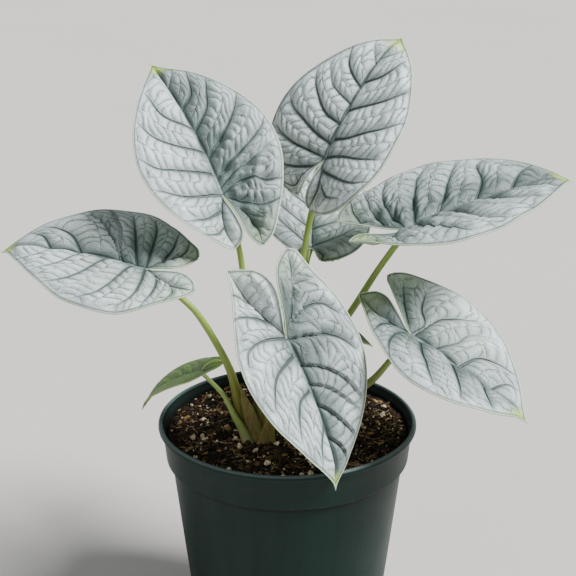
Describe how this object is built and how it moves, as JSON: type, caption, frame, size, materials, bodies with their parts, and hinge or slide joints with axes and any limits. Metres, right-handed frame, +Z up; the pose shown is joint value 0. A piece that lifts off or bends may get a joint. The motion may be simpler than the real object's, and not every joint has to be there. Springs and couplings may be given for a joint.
{
  "type": "potted alocasia platinum",
  "caption": "House plant with silver, dark-veined, heart-shaped leaves on slim green stalks, growing in dark mix in a tapered plastic nursery pot.",
  "frame": {"origin": "centre of the pot's flat base, on the surface that it stands on", "axes": "+Z up along the pot's axis; -Y towards the plant's best side, which the picture's camera faces; +X to that camera's right"},
  "size_m": [0.3282, 0.2106, 0.3574],
  "materials": {
    "pot": "satin moulded polypropylene, dark teal green",
    "potting_mix": "damp dark brown mix of bark, fibre and white perlite",
    "silver_blade": "silver leaf with dark veins, waxy satin",
    "young_blade": "young green leaf, satin",
    "stalk": "smooth green stalk, satin",
    "scale": "dry olive brown scale, matt"
  },
  "bodies": {
    "root": {"pot": "pot", "potting_mix": "potting_mix", "crown": "scale", "blade_upper_left": "silver_blade", "petiole_upper_left": "stalk", "blade_upper_right": "silver_blade", "petiole_upper_right": "stalk", "blade_right": "silver_blade", "petiole_right": "stalk", "blade_back": "silver_blade", "petiole_back": "stalk", "blade_left": "silver_blade", "petiole_left": "stalk", "blade_front": "silver_blade", "petiole_front": "stalk", "blade_lower_right": "silver_blade", "petiole_lower_right": "stalk", "blade_young_left": "young_blade", "petiole_young_left": "stalk", "blade_young_back": "young_blade", "petiole_young_back": "stalk", "cataphyll_front": "scale", "cataphyll_back": "scale"}
  },
  "joints": []
}
